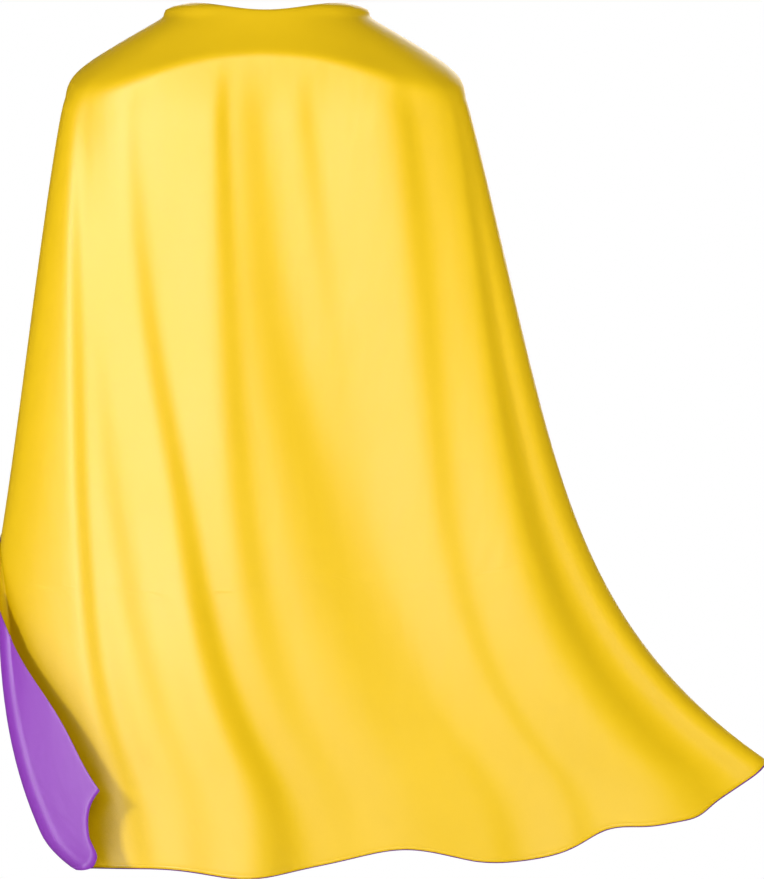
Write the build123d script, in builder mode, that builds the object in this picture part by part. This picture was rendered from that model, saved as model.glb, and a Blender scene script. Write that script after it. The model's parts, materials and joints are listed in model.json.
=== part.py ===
"""Child's reversible satin superhero cape, worn, hanging from the shoulders.

Millimetres, +Z up.  The wearer faces +Y, so the cape's back faces -Y and +X is
the wearer's right.  The origin is on the axis of the neck, level with the
highest point of the neckline.
"""
import os
from math import cos, degrees, exp, log, radians, sin, sqrt, tanh

from build123d import *

# ---------------------------------------------------------------- driving sizes
NECK_RADIUS = 62.0          # inside of the closed neck opening
CLOTH = 0.6                 # thickness of one satin layer as modelled
LAYER_GAP = 0.4             # air between the outer layer and the lining
SPLIT_GAP = 1.8             # clearance where two bodies of the same cloth meet
NECK_EASE = 0.4             # the lining stays this far outside the neck opening

NECK_REACH = 116.0          # degrees from the middle of the back to the tab root
NECK_BACK_DIP = 8.0         # the neckline dips at the middle of the back
NECK_FRONT_DIP = 4.0        # and falls a little towards the throat

SHOULDER_HALF = 160.0       # half width over the shoulders
SHOULDER_LEVEL = 78.0       # drop from the neck to the point of the shoulder
BLADE_LEVEL = 45.0          # drop to the break line at the middle of the back
BREAK_BEND = 1.8            # how late the break line bends down towards the shoulders
CORNER_FALL = 13.0          # extra drop of the break line at the corners of the back
CORNER_PLACE = 0.38         # the corners, as a fraction of the way to the front edge
CORNER_WIDTH = 0.16         # and how wide that extra drop is
FRONT_FALL = 60.0           # extra drop of the break line towards the chest
SPLIT_BELOW = 3.0           # the yoke ends this far below the break line
BREAK_SHARPNESS = 0.03      # how softly the cloth turns down at the shoulder blades
SHOULDER_SOFTNESS = 0.07    # and how much softer it does so over the shoulders
BACK_SLOPE = 1.02           # how fast the cloth runs outwards from the neck at the back
SIDE_SLOPE = 0.29           # and how much faster it does so over the shoulders
BACK_HOLLOW = 0.22          # the slope is hollow at the back
SIDE_SWELL = 0.32           # and by this much fuller over the shoulders
COLLAR_PUSH = 0.10          # the cloth steps out just below the neckline at the sides
COLLAR_PLACE = 0.055        # place of that step on the way down to the break line
COLLAR_WIDTH = 0.06         # and its width
FRONT_PART = 0.72           # from here to the front edge the cloth stands upright first
FRONT_SLOWNESS = 0.95       # and this is how fast it then leaves the neck
BLADE_DEPTH = 95.0          # half depth of the body at the shoulder blades
TOP_SQUARE = 6.0            # squareness of the plan at the shoulder blades
HEM_SQUARE = 5.0            # and at the hem
SHOULDER_REACH = 110.0      # degrees from the back to the front edge at the shoulders
SIDE_REACH = 90.0           # the front edges hang at the sides lower down
SIDE_LEVEL = 420.0          # drop at which they get there
HEM_REACH = 62.0            # and the hem corners stay a little behind the sides

RIGHT_TIP_DROP = 606.0      # drop of the right hem corner
RIGHT_FLARE = 119.0         # steady widening of the right side
RIGHT_KICK = 119.0          # extra swing of the right side near its corner
RIGHT_FLARE_BEND, RIGHT_KICK_BEND = 0.95, 5.5       # how late each of the two comes
CORNER_REACH = 84.0         # how far the swing would go on below the corner
CORNER_EASE = 0.11          # share of the right side's length over which it dies out
LEFT_FLARE = 69.0           # steady widening of the left side
LEFT_KICK = 28.0            # extra swing of the left side near its corner
LEFT_FLARE_BEND, LEFT_KICK_BEND = 0.85, 5.0
HEM_DROP = 691.0            # drop of the lowest folds of the hem
HEM_LIFT = 2.5              # the rest of the hem hangs this much higher
LEFT_TIP_DROP = 628.0       # drop of the left hem corner before it turns over
RIGHT_RISE = 82.0           # the hem climbs by this much to the right corner
RIGHT_RISE_START = 0.60     # from this fraction of the width
RIGHT_RISE_BEND = 1.5       # and this is how late it climbs
ROLL_RISE = 9.0             # it climbs by this much to the roll of the left corner
ROLL_SHARE, ROLL_FULL = 0.16, 0.08      # between these fractions of the width
LEFT_RISE = 55.0            # and then along the turned-over corner, towards this much
LEFT_SHARE = 0.108          # which takes this share of the hem
LEFT_STEEPNESS = 0.9        # how soon it climbs there
LEFT_SOFTNESS = 0.03        # and how softly the climb begins
HEM_DEPTH = 70.0            # half depth of the cape at the hem
HEM_BACKSET = 45.0          # the hem hangs further back than the shoulders

CURL_START = 425.0          # drop where the left edge begins to turn over
CURL_FULL = 505.0           # drop where the edge has rolled right over
CURL_RADIUS = 8.0           # roll radius of the turned corner
CURL_LOOSER = 6.0           # and how much larger it is at the hem
CURL_TURN = radians(180.0)  # how far the edge has turned over
CURL_LIFT = radians(10.0)   # and how much less so at the hem
CURL_SLANT = 53.0           # the roll line runs inwards by this much at the hem
CURL_SLANT_BEND = 3.1       # and this is how late it does so
CURL_END = 14.0             # it swings in by this much more near the hem
CURL_END_START, CURL_END_LENGTH = 660.0, 30.0       # from this drop, over this length
CURL_SPREAD = 0.35          # the turned-over cloth reaches further in by this share
SPREAD_LEVEL, SPREAD_WIDTH = 560.0, 50.0            # around this drop

TAB_HEIGHT = 24.0
TAB_TOP = 0.0               # level of the top of the tabs
TAB_ROOT = 180.0 - NECK_REACH   # degrees from the throat to the tab roots
TAB_PAST = 27.0             # degrees that each tab passes the throat
TAB_CORNER = 7.0
ROOT_CLEARANCE = 0.7        # degrees between a tab and the shoulder cloth
STAY = 0.5                  # thickness of the tab interfacing
PLY_GAP = 0.1               # air between the plies of a tab
TAPE = 1.1                  # thickness of the hook tape and of the loop tape
TAPE_HEIGHT = 18.0
TAPE_REACH = 22.0           # half of the angle covered by each tape
THREAD = 0.25
THREAD_WIDTH = 0.6
THREAD_INSET = 1.4          # from the edge of a tape to its stitching
LIFT_START = 29.0           # degrees from the throat where the hook tab is fully lifted
LIFT_END = 40.0             # and where it lies against the neck again
CLIMB_STEPS = 6
NEAR_LINE = 0.5             # an edge closer than this to a line counts as on it

YOKE_COLUMNS, YOKE_ROWS = 60, 14
DRAPE_COLUMNS, DRAPE_ROWS = 150, 28

# ------------------------------------------------------------------ worked out
NEAR = 0.5 * LAYER_GAP      # cloth faces lie this far from the middle of the cape
FAR = NEAR + CLOTH
STAY_IN = NECK_RADIUS + CLOTH + PLY_GAP
OUTER_IN = STAY_IN + STAY + PLY_GAP
LOOP_TAPE_IN = OUTER_IN + CLOTH + PLY_GAP
LOOP_THREAD_IN = LOOP_TAPE_IN + TAPE + PLY_GAP
HOOK_THREAD_IN = LOOP_THREAD_IN + THREAD + PLY_GAP
HOOK_TAPE_IN = HOOK_THREAD_IN + THREAD + PLY_GAP
LIFT = HOOK_TAPE_IN + TAPE + PLY_GAP - NECK_RADIUS
TAB_LOW = TAB_TOP - TAB_HEIGHT
TAPE_LOW = TAB_LOW + 0.5 * (TAB_HEIGHT - TAPE_HEIGHT)

# Each fold is a fall in the height of the cloth, going from the left edge to the
# right edge.  At the top, half way down and at the hem: its place as a fraction of
# the width and its fall; then its half width as a fraction.
FOLDS = (
    ((0.045, 0.143, 0.262), (5.0, 5.5, 6.0), 0.020),
    ((0.080, 0.200, 0.320), (1.0, 6.0, 5.0), 0.028),
    ((0.180, 0.318, 0.405), (1.5, 8.0, 28.0), 0.021),
    ((0.398, 0.425, 0.470), (5.0, 9.0, 5.0), 0.026),
    ((0.470, 0.545, 0.580), (6.0, 21.0, 20.0), 0.060),
    ((0.600, 0.630, 0.640), (3.0, 2.0, 6.0), 0.025),
    ((0.840, 0.780, 0.720), (10.0, 6.0, 5.0), 0.024),
    ((0.965, 0.922, 0.865), (1.0, 18.0, 35.0), 0.033),
    ((0.985, 0.966, 0.950), (-2.0, -8.0, -7.0), 0.022),
)
FOLD_TOP, FOLD_SPAN = 100.0, 600.0      # drop of the first place and length down to the last
FADE_START, FADE_END = 45.0, 105.0      # the folds start between these drops

# Waves of the hem: place as a fraction of the width, half width, and drop.
HEM_WAVES = (
    (0.365, 0.055, 8.0),
    (0.530, 0.070, -14.0),
    (0.755, 0.042, -10.0),
    (0.858, 0.025, 3.0),
)


# ------------------------------------------------------------------ cape surface
# Across runs from -1 at the left front edge to 1 at the right front edge.
def ramp(value, start, end):
    """0 before start, 1 after end, smooth in between."""
    step = min(max((value - start) / (end - start), 0.0), 1.0)
    return step * step * (3.0 - 2.0 * step)


def smoother(value):
    """0 before 0, 1 after 1, and smoother in between than a ramp."""
    step = min(max(value, 0.0), 1.0)
    return step ** 3 * (10.0 - 15.0 * step + 6.0 * step * step)


def soft_least(first, second, softness):
    """The lesser of two values, with a rounded change-over."""
    return -softness * log(exp(-first / softness) + exp(-second / softness))


def through(values, drop):
    """Curve through three values: at the top, half way down and at the hem."""
    run = min(max((drop - FOLD_TOP) / FOLD_SPAN, 0.0), 1.0)
    top, middle, hem = values
    return top + (4.0 * middle - 3.0 * top - hem) * run + 2.0 * (top + hem - 2.0 * middle) * run * run


def right_side(drop):
    """Distance of the right side from the neck axis at a drop below the neck."""
    run = max(drop - SHOULDER_LEVEL, 0.0) / (RIGHT_TIP_DROP - SHOULDER_LEVEL)
    above = min(run, 1.0)
    below = max(run - 1.0, 0.0)
    side = SHOULDER_HALF + RIGHT_FLARE * above ** RIGHT_FLARE_BEND + RIGHT_KICK * above ** RIGHT_KICK_BEND
    return side + CORNER_REACH * (1.0 - exp(-below / CORNER_EASE))


def left_side(drop):
    """The same for the left side, before its corner turns over."""
    run = max(drop - SHOULDER_LEVEL, 0.0) / (LEFT_TIP_DROP - SHOULDER_LEVEL)
    return SHOULDER_HALF + LEFT_FLARE * run ** LEFT_FLARE_BEND + LEFT_KICK * run ** LEFT_KICK_BEND


def plan_place(angle, square):
    """Sideways and backward share of a rounded box outline, the angle taken from the back."""
    turn = radians(angle)
    bulge = (abs(sin(turn)) ** square + abs(cos(turn)) ** square) ** (-1.0 / square)
    return bulge * sin(turn), bulge * cos(turn)


def plan_size(drop):
    """Half width, middle, half depth, set-back and squareness of the plan at a drop."""
    run = min(max((drop - BLADE_LEVEL) / (HEM_DROP - BLADE_LEVEL), 0.0), 1.0)
    half = 0.5 * (right_side(drop) + left_side(drop))
    middle = 0.5 * (right_side(drop) - left_side(drop))
    depth = BLADE_DEPTH + (HEM_DEPTH - BLADE_DEPTH) * run
    return half, middle, depth, HEM_BACKSET * run, TOP_SQUARE + (HEM_SQUARE - TOP_SQUARE) * run


def plan_reach(drop):
    """Angle from the middle of the back to the front edge at a drop."""
    reach = SHOULDER_REACH + (SIDE_REACH - SHOULDER_REACH) * ramp(drop, BLADE_LEVEL, SIDE_LEVEL)
    return reach + (HEM_REACH - SIDE_REACH) * ramp(drop, SIDE_LEVEL, RIGHT_TIP_DROP)


def break_drop(across):
    """Drop of the line where the shoulders give way to the hanging back."""
    side, back = plan_place(across * SHOULDER_REACH, TOP_SQUARE)
    corner = CORNER_FALL * exp(-((abs(across) - CORNER_PLACE) / CORNER_WIDTH) ** 2)
    rounded = (SHOULDER_LEVEL - BLADE_LEVEL) * abs(side) ** BREAK_BEND
    return BLADE_LEVEL + rounded + corner + FRONT_FALL * max(-back, 0.0)


def neck_drop(across):
    """Drop of the neckline."""
    turn = radians(across * NECK_REACH)
    front = max(-cos(turn), 0.0)
    return NECK_BACK_DIP * max(cos(turn), 0.0) ** 4 + NECK_FRONT_DIP * front ** 2


def hem_drop(across):
    """Drop of the hem, with both of its rising ends and the waves of the folds."""
    side, _ = plan_place(across * HEM_REACH, HEM_SQUARE)
    widest, _ = plan_place(HEM_REACH, HEM_SQUARE)
    place = 0.5 * (1.0 + side / widest)
    rising = max(place - RIGHT_RISE_START, 0.0) / (1.0 - RIGHT_RISE_START)
    drop = HEM_DROP - HEM_LIFT - RIGHT_RISE * rising ** RIGHT_RISE_BEND
    drop -= ROLL_RISE * (1.0 - ramp(place, ROLL_FULL, ROLL_SHARE))
    share = 1.0 - place / LEFT_SHARE
    drop -= LEFT_RISE * tanh(LEFT_STEEPNESS * (share + sqrt(share ** 2 + LEFT_SOFTNESS)))
    for middle, width, depth in HEM_WAVES:
        drop += depth * exp(-((place - middle) / width) ** 2)
    return drop


def fold_height(fraction, drop):
    """Outward height of the folds: long gentle rises broken by falls."""
    height = 0.0
    fade = ramp(drop, FADE_START, FADE_END)
    for places, falls, width in FOLDS:
        fall = through(falls, drop) * fade
        height += fall * fraction
        height -= fall * 0.5 * (1.0 + tanh((fraction - through(places, drop)) / width))
    return height


def back_face(x, drop):
    """Y of the hanging cloth's back at a given X."""
    half, middle, depth, backset, square = plan_size(drop)
    widest, _ = plan_place(min(plan_reach(drop), 90.0), square)
    side = (x - middle) / half
    back = max(1.0 - abs(side * widest) ** square, 0.0) ** (1.0 / square)
    return -backset - depth * back - fold_height(0.5 * (1.0 + side), drop)


def turn_corner(x, y, drop):
    """Roll the lower left corner over, towards the outside of the cape."""
    if drop <= CURL_START:
        return x, y
    run = (drop - CURL_START) / (HEM_DROP - CURL_START)
    radius = CURL_RADIUS + CURL_LOOSER * run ** 2
    fold_x = -left_side(CURL_START) + radius * ramp(drop, CURL_START, CURL_FULL)
    fold_x += CURL_SLANT * run ** CURL_SLANT_BEND
    fold_x += CURL_END * (max(drop - CURL_END_START, 0.0) / CURL_END_LENGTH) ** 2
    beyond = fold_x - x
    if beyond <= 0.0:
        return x, y
    beyond *= 1.0 + CURL_SPREAD * exp(-((drop - SPREAD_LEVEL) / SPREAD_WIDTH) ** 2)
    whole = CURL_TURN - CURL_LIFT * run ** 2
    turn = min(beyond / radius, whole)
    rest = max(beyond - radius * whole, 0.0)
    new_x = fold_x - radius * sin(turn) - rest * cos(turn)
    stand_off = radius * (1.0 - cos(turn)) + rest * sin(turn)
    return new_x, back_face(max(new_x, fold_x), drop) - stand_off


def hanging(across, drop):
    """Plan position of the cloth where it hangs freely."""
    half, middle, depth, backset, square = plan_size(drop)
    widest, _ = plan_place(min(plan_reach(drop), 90.0), square)
    side, back = plan_place(across * plan_reach(drop), square)
    side /= widest
    push = fold_height(0.5 * (1.0 + side), drop)
    lean_x = depth * side
    lean_y = -half * back
    lean = sqrt(lean_x * lean_x + lean_y * lean_y)
    x = middle + half * side + push * lean_x / lean
    y = -backset - depth * back + push * lean_y / lean
    return turn_corner(x, y, drop)


def cape_point(across, drop):
    """Middle of the cloth at any drop between the neckline and the hem."""
    turn = radians(across * NECK_REACH)
    sideways = sin(turn) ** 2
    radius = NECK_RADIUS + FAR + NECK_EASE
    low_x, low_y = hanging(across, max(drop, BLADE_LEVEL))
    down = (drop - neck_drop(across)) / (break_drop(across) - neck_drop(across))
    hollow = BACK_HOLLOW - SIDE_SWELL * sideways
    out = (BACK_SLOPE + SIDE_SLOPE * sideways) * down * (1.0 - hollow + hollow * down)
    out = soft_least(out, 1.0, BREAK_SHARPNESS + SHOULDER_SOFTNESS * sideways)
    out += COLLAR_PUSH * exp(-((down - COLLAR_PLACE) / COLLAR_WIDTH) ** 2) * sideways
    upright = smoother(FRONT_SLOWNESS * down)
    out += (upright - out) * ramp(abs(across), FRONT_PART, 1.0)
    x = radius * sin(turn) * (1.0 - out) + low_x * out
    y = -radius * cos(turn) * (1.0 - out) + low_y * out
    return x, y, -drop


def split_drop(across):
    """Drop of the line where the yoke ends and the drape begins."""
    return break_drop(across) + SPLIT_BELOW


def yoke_point(across, run):
    """Shoulder part by run, 0 at the neckline and 1 at the split."""
    top = neck_drop(across)
    return cape_point(across, top + (split_drop(across) - top) * run)


def drape_point(across, run):
    """Hanging part by run, 0 at the split and 1 at the hem."""
    top = split_drop(across) + SPLIT_GAP
    return cape_point(across, top + (hem_drop(across) - top) * run)


def shifted(point, across, run, shift, step=0.002):
    """The point of a surface moved along the surface's outward normal."""
    here = Vector(*point(across, run))
    along = Vector(*point(across + step, run)) - Vector(*point(across - step, run))
    down = Vector(*point(across, run + step)) - Vector(*point(across, run - step))
    normal = along.cross(down).normalized()
    return here - normal * shift


def cloth_rows(point, columns, rows, shift):
    """Crosswise curves of one face of the cloth, from its top edge to its bottom edge."""
    curves = []
    for row in range(rows + 1):
        places = [column / columns for column in range(columns + 1)]
        line = [shifted(point, 2.0 * place - 1.0, row / rows, shift) for place in places]
        curves.append(Edge.make_spline(line, parameters=places))
    return curves


def cloth_solid(point, columns, rows, inner_shift, outer_shift):
    """A closed sheet between two faces that follow the same shape."""
    outer = cloth_rows(point, columns, rows, outer_shift)
    inner = cloth_rows(point, columns, rows, inner_shift)
    faces = [Face.make_surface_from_curves(outer[row], inner[row]) for row in (0, -1)]
    for layer in (outer, inner):
        for upper, lower in zip(layer, layer[1:]):
            faces.append(Face.make_surface_from_curves(upper, lower))
    for end in (0, 1):
        for row in range(rows):
            outside = Edge.make_line(outer[row] @ end, outer[row + 1] @ end)
            inside = Edge.make_line(inner[row] @ end, inner[row + 1] @ end)
            faces.append(Face.make_surface_from_curves(outside, inside))
    return Solid(Shell(faces))


# ------------------------------------------------------------------ outer satin
with BuildPart() as outer_yoke:
    add(cloth_solid(yoke_point, YOKE_COLUMNS, YOKE_ROWS, NEAR, FAR))

with BuildPart() as outer_drape:
    add(cloth_solid(drape_point, DRAPE_COLUMNS, DRAPE_ROWS, NEAR, FAR))

# ----------------------------------------------------------------- lining satin
with BuildPart() as lining_yoke:
    add(cloth_solid(yoke_point, YOKE_COLUMNS, YOKE_ROWS, -FAR, -NEAR))

with BuildPart() as lining_drape:
    add(cloth_solid(drape_point, DRAPE_COLUMNS, DRAPE_ROWS, -FAR, -NEAR))


# ------------------------------------------------------------ shapes of the tabs
# Angles round the neck are measured from the throat, positive to the wearer's right.
def round_neck(radius, angle):
    """A point round the neck."""
    return radius * sin(radians(angle)), radius * cos(radians(angle))


def along_neck(angle):
    """Direction of travel round the neck as the angle falls."""
    return -cos(radians(angle)), sin(radians(angle))


def lifted(radius, angle):
    """Radius of a hook tab ply, which climbs over the end of the loop tab."""
    return radius + LIFT * (1.0 - ramp(angle, LIFT_START, LIFT_END))


def flat_plan(inner, thickness, start, end, level):
    """Plan of a band that lies round the neck, on a plane at the given level."""
    middle = 0.5 * (start + end)
    outside = inner + thickness
    with BuildSketch(Plane.XY.offset(level)) as plan:
        with BuildLine():
            ThreePointArc(*[round_neck(inner, angle) for angle in (start, middle, end)])
            Line(round_neck(inner, end), round_neck(outside, end))
            ThreePointArc(*[round_neck(outside, angle) for angle in (end, middle, start)])
            Line(round_neck(outside, start), round_neck(inner, start))
        make_face()
    return plan.sketch


def climbing_plan(inner, thickness, start, end, level):
    """Plan of a hook tab ply: at the neck, then a climb, then over the loop tab."""
    steps = [LIFT_END + (LIFT_START - LIFT_END) * step / CLIMB_STEPS for step in range(CLIMB_STEPS + 1)]
    ways = [along_neck(LIFT_END), along_neck(LIFT_START)]
    low = 0.5 * (start + LIFT_END)
    high = 0.5 * (LIFT_START + end)
    with BuildSketch(Plane.XY.offset(level)) as plan:
        with BuildLine():
            for radius in (inner, inner + thickness):
                ThreePointArc(*[round_neck(radius, angle) for angle in (start, low, LIFT_END)])
                Spline(*[round_neck(lifted(radius, angle), angle) for angle in steps], tangents=ways)
                ThreePointArc(*[round_neck(radius + LIFT, angle) for angle in (LIFT_START, high, end)])
            Line(round_neck(inner, start), round_neck(inner + thickness, start))
            Line(round_neck(inner + LIFT, end), round_neck(inner + thickness + LIFT, end))
        make_face()
    return plan.sketch


def tip_edges(ply, angle):
    """The two short edges across the cloth at the free end of a ply."""
    x, y = round_neck(1.0, angle)
    short = [edge for edge in ply.edges() if edge.length < TAB_CORNER]
    return [edge for edge in short if abs(edge.center().X * y - edge.center().Y * x) < NEAR_LINE]


# -------------------------------------------------------------------- loop tab
LOOP_START = -TAB_ROOT + ROOT_CLEARANCE
LOOP_END = TAB_PAST

with BuildPart() as loop_tab_lining:
    extrude(flat_plan(NECK_RADIUS, CLOTH, LOOP_START, LOOP_END, TAB_LOW), amount=TAB_HEIGHT)
    fillet(tip_edges(loop_tab_lining.part, LOOP_END), radius=TAB_CORNER)

with BuildPart() as loop_tab_interfacing:
    extrude(flat_plan(STAY_IN, STAY, LOOP_START, LOOP_END, TAB_LOW), amount=TAB_HEIGHT)
    fillet(tip_edges(loop_tab_interfacing.part, LOOP_END), radius=TAB_CORNER)

with BuildPart() as loop_tab_outer:
    extrude(flat_plan(OUTER_IN, CLOTH, LOOP_START, LOOP_END, TAB_LOW), amount=TAB_HEIGHT)
    fillet(tip_edges(loop_tab_outer.part, LOOP_END), radius=TAB_CORNER)

# -------------------------------------------------------------------- hook tab
HOOK_START = TAB_ROOT - ROOT_CLEARANCE
HOOK_END = -TAB_PAST

with BuildPart() as hook_tab_lining:
    extrude(climbing_plan(NECK_RADIUS, CLOTH, HOOK_START, HOOK_END, TAB_LOW), amount=TAB_HEIGHT)
    fillet(tip_edges(hook_tab_lining.part, HOOK_END), radius=TAB_CORNER)

with BuildPart() as hook_tab_interfacing:
    extrude(climbing_plan(STAY_IN, STAY, HOOK_START, HOOK_END, TAB_LOW), amount=TAB_HEIGHT)
    fillet(tip_edges(hook_tab_interfacing.part, HOOK_END), radius=TAB_CORNER)

with BuildPart() as hook_tab_outer:
    extrude(climbing_plan(OUTER_IN, CLOTH, HOOK_START, HOOK_END, TAB_LOW), amount=TAB_HEIGHT)
    fillet(tip_edges(hook_tab_outer.part, HOOK_END), radius=TAB_CORNER)

# ----------------------------------------------------------- hook and loop tapes
with BuildPart() as loop_patch:
    extrude(flat_plan(LOOP_TAPE_IN, TAPE, -TAPE_REACH, TAPE_REACH, TAPE_LOW), amount=TAPE_HEIGHT)

with BuildPart() as hook_patch:
    extrude(flat_plan(HOOK_TAPE_IN, TAPE, -TAPE_REACH, TAPE_REACH, TAPE_LOW), amount=TAPE_HEIGHT)

# ------------------------------------------------------ stitching round the tapes
STITCH_REACH = TAPE_REACH - degrees(THREAD_INSET / NECK_RADIUS)
STITCH_REACH_IN = STITCH_REACH - degrees(THREAD_WIDTH / NECK_RADIUS)
STITCH_LOW = TAPE_LOW + THREAD_INSET
STITCH_LOW_IN = STITCH_LOW + THREAD_WIDTH
STITCH_HEIGHT = TAPE_HEIGHT - 2.0 * THREAD_INSET
STITCH_HEIGHT_IN = STITCH_HEIGHT - 2.0 * THREAD_WIDTH

with BuildPart() as loop_patch_stitching:
    extrude(flat_plan(LOOP_THREAD_IN, THREAD, -STITCH_REACH, STITCH_REACH, STITCH_LOW), amount=STITCH_HEIGHT)
    extrude(
        flat_plan(LOOP_THREAD_IN - THREAD, 3.0 * THREAD, -STITCH_REACH_IN, STITCH_REACH_IN, STITCH_LOW_IN),
        amount=STITCH_HEIGHT_IN,
        mode=Mode.SUBTRACT,
    )

with BuildPart() as hook_patch_stitching:
    extrude(flat_plan(HOOK_THREAD_IN, THREAD, -STITCH_REACH, STITCH_REACH, STITCH_LOW), amount=STITCH_HEIGHT)
    extrude(
        flat_plan(HOOK_THREAD_IN - THREAD, 3.0 * THREAD, -STITCH_REACH_IN, STITCH_REACH_IN, STITCH_LOW_IN),
        amount=STITCH_HEIGHT_IN,
        mode=Mode.SUBTRACT,
    )

# ---------------------------------------------------------------- write the parts
PIECES = {
    "outer_yoke": outer_yoke,
    "lining_yoke": lining_yoke,
    "outer_drape": outer_drape,
    "lining_drape": lining_drape,
    "loop_tab_lining": loop_tab_lining,
    "loop_tab_interfacing": loop_tab_interfacing,
    "loop_tab_outer": loop_tab_outer,
    "loop_patch": loop_patch,
    "loop_patch_stitching": loop_patch_stitching,
    "hook_tab_lining": hook_tab_lining,
    "hook_tab_interfacing": hook_tab_interfacing,
    "hook_tab_outer": hook_tab_outer,
    "hook_patch": hook_patch,
    "hook_patch_stitching": hook_patch_stitching,
}

os.makedirs("parts", exist_ok=True)
for piece_name, piece in PIECES.items():
    piece.part.label = piece_name
    export_step(piece.part, f"parts/{piece_name}.step")
    print(piece_name, round(piece.part.volume), "mm3", piece.part.bounding_box())
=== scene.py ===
"""Looks of the reversible satin superhero cape, built round its CAD frame.

Metres, +Z up.  The wearer faces +Y, so the yellow back of the cape faces -Y.
Shapes are worked out in millimetres and scaled when a mesh is made.
"""
import json
import math

import bpy
import numpy as np
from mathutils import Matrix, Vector


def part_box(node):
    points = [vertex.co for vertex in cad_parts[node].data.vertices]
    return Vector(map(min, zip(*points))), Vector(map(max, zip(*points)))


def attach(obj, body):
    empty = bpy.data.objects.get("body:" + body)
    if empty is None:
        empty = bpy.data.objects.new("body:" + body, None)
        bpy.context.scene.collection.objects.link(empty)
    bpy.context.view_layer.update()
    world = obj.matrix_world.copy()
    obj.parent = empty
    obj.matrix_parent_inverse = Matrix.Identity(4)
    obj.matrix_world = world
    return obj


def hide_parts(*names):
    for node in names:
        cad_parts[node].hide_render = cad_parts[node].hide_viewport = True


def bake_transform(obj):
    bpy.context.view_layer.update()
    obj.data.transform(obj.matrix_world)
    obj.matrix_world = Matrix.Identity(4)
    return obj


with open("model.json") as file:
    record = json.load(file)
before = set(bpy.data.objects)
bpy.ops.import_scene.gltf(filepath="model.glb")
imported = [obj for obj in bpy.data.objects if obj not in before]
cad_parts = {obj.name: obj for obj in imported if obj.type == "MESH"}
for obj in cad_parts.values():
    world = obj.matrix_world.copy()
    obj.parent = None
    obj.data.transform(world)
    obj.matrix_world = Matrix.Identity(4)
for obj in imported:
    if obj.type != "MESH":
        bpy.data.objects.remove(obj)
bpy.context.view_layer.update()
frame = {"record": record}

MM = 0.001

# ------------------------------------------------------- sizes read off the frame
yoke_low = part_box("outer_yoke")[0] / MM
drape_low, drape_high = [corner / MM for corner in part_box("outer_drape")]
NECK_RADIUS = frame["record"]["mounts"][0]["dims"]["r_mm"]
# the lowest wave of the hem, the split below the break line, and the folds' height
HEM_WAVE_BELOW = 4.6
SPLIT_BELOW = 4.8
FOLD_OUT = 1.8
HEM_DROP = -drape_low.z - HEM_WAVE_BELOW
BLADE_DROP = -drape_high.z - SPLIT_BELOW
BLADE_DEPTH = -yoke_low.y - FOLD_OUT

# ----------------------------------------------------------------- driving sizes
# shoulders and break line
SHOULDER_HALF = 160.0
SHOULDER_DROP = 78.0
BREAK_BEND = 1.8
CORNER_FALL, CORNER_PLACE, CORNER_WIDTH = 13.0, 0.38, 0.16
FRONT_FALL = 60.0
BREAK_SHARPNESS, SHOULDER_SOFTNESS = 0.03, 0.07
BACK_SLOPE, SIDE_SLOPE = 1.02, 0.29
BACK_HOLLOW, SIDE_SWELL = 0.22, 0.32
COLLAR_PUSH, COLLAR_PLACE, COLLAR_WIDTH = 0.10, 0.055, 0.06
FRONT_PART, FRONT_SLOWNESS = 0.72, 0.95
NECK_CLEARANCE = 1.2
FADE_START, FADE_END = 45.0, 105.0
# neckline, reach round the body at the neck, shoulders, sides and hem, and the plan
NECK_REACH = 116.0
NECK_BACK_DIP = 8.0
NECK_FRONT_DIP = 4.0
SHOULDER_REACH = 110.0
SIDE_REACH = 90.0
SIDE_DROP = 420.0
HEM_REACH = 62.0
TOP_SQUARE = 6.0
HEM_SQUARE = 5.0
# right and left sides: steady flare, extra swing near the corner, and how late each comes
RIGHT_TIP_DROP = 606.0
RIGHT_FLARE, RIGHT_FLARE_BEND = 119.0, 0.95
RIGHT_KICK, RIGHT_KICK_BEND = 119.0, 5.5
CORNER_RUN, CORNER_EASE = 763.0, 0.11
LEFT_TIP_DROP = 628.0
LEFT_WIDER = 1.0
LEFT_FLARE, LEFT_FLARE_BEND = 69.0, 0.85
LEFT_KICK, LEFT_KICK_BEND = 28.0, 5.0
# hem: lift above its lowest folds, and its climbs to the right corner and to the left
HEM_LIFT = 2.5
RIGHT_RISE, RIGHT_RISE_START, RIGHT_RISE_REACH, RIGHT_RISE_BEND = 82.0, 0.60, 0.40, 1.5
ROLL_RISE, ROLL_SHARE, ROLL_WIDTH = 9.0, 0.16, 0.08
LEFT_RISE, LEFT_SHARE, LEFT_STEEPNESS, LEFT_SOFTNESS = 75.0, 0.085, 0.45, 0.05
HEM_DEPTH = 70.0
HEM_BACKSET = 45.0
# lower left corner, rolled over towards the outside
CURL_START = 425.0
CURL_FULL = 505.0
CURL_RADIUS = 8.0
CURL_LOOSER = 6.0
CURL_SLANT, CURL_SLANT_BEND = 53.0, 3.1
CURL_END, CURL_END_START, CURL_END_LENGTH = 14.0, 660.0, 30.0
CURL_SPREAD, SPREAD_LEVEL, SPREAD_WIDTH = 0.35, 560.0, 50.0
CURL_TURN = math.radians(180.0)
CURL_LIFT = math.radians(10.0)

FLANK_DROPS = (100.0, 250.0, 400.0, 550.0, 700.0)
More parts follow.
